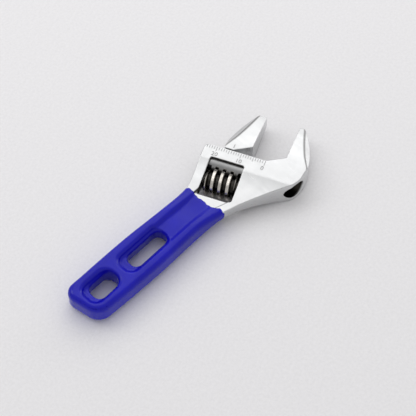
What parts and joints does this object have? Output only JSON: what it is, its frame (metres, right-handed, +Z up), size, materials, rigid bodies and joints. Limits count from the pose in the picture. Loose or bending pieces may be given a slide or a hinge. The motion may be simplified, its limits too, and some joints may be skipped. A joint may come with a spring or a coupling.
{
  "type": "adjustable wrench",
  "caption": "Stubby wide-opening adjustable wrench: forged head with a sliding jaw driven by a worm and rack, and a dipped vinyl grip with two slots.",
  "frame": {"origin": "on the underside that the wrench lies on, below the corner where the fixed jaw's face plane meets the edge of the slide", "axes": "+X along the handle towards the jaws, +Z up through the head's thickness, +Y across the handle; the jaws stand 22.5 degrees round from +X"},
  "size_m": [0.1173, 0.0383, 0.0109],
  "materials": {
    "satin_chrome_body": "satin chrome plate over forged steel",
    "satin_chrome_jaw": "satin chrome plate over forged steel",
    "dark_chrome_worm": "bright dark chrome plate",
    "pin_steel": "turned steel",
    "spring_steel": "drawn spring wire",
    "blue_vinyl": "glossy dipped vinyl"
  },
  "bodies": {
    "wrench_body": {"body": "satin_chrome_body", "worm_pin": "pin_steel", "worm_spring": "spring_steel", "grip_sleeve": "blue_vinyl"},
    "sliding_jaw": {"movable_jaw": "satin_chrome_jaw"},
    "worm_screw": {"worm": "dark_chrome_worm"}
  },
  "joints": [
    {"name": "jaw_slide", "type": "slide", "parent": "wrench_body", "child": "sliding_jaw", "axis": [-0.3827, 0.9239, 0], "range_m": [-0.0139, 0.0101]},
    {"name": "worm_spin", "type": "hinge", "parent": "wrench_body", "child": "worm_screw", "pos_m": [-0.02053, 0.01401, 0.00545], "axis": [-0.3827, 0.9239, 0], "range_deg": [-1165, 1600]}
  ],
  "couplings": [
    {"joint": "worm_spin", "follows": "jaw_slide", "rad_per_m": -2001}
  ]
}
